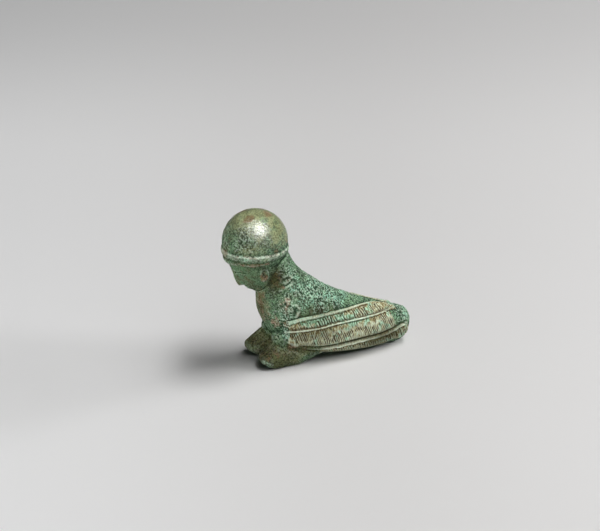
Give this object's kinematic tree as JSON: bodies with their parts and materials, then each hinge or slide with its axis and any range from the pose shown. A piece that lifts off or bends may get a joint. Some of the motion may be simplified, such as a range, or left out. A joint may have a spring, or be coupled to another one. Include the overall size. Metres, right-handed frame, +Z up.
{
  "type": "siren statuette",
  "caption": "Small cast bronze siren: a bowed human head with a rolled fillet on a bird's body with folded, chased wings, resting on its feet and tail.",
  "frame": {"origin": "on the ground, under the middle of the figure's length and width", "axes": "+Z up, the face looks along -Y and the tail points along +Y, and the figure's left side is +X"},
  "size_m": [0.016, 0.0456, 0.038],
  "materials": {
    "bronze": "cast bronze with a pitted green patina, brown metal on the wings and crown, pale green crust on the ridges and a smooth, slightly glossy crown"
  },
  "bodies": {
    "root": {"siren_statuette": "bronze"}
  },
  "joints": []
}
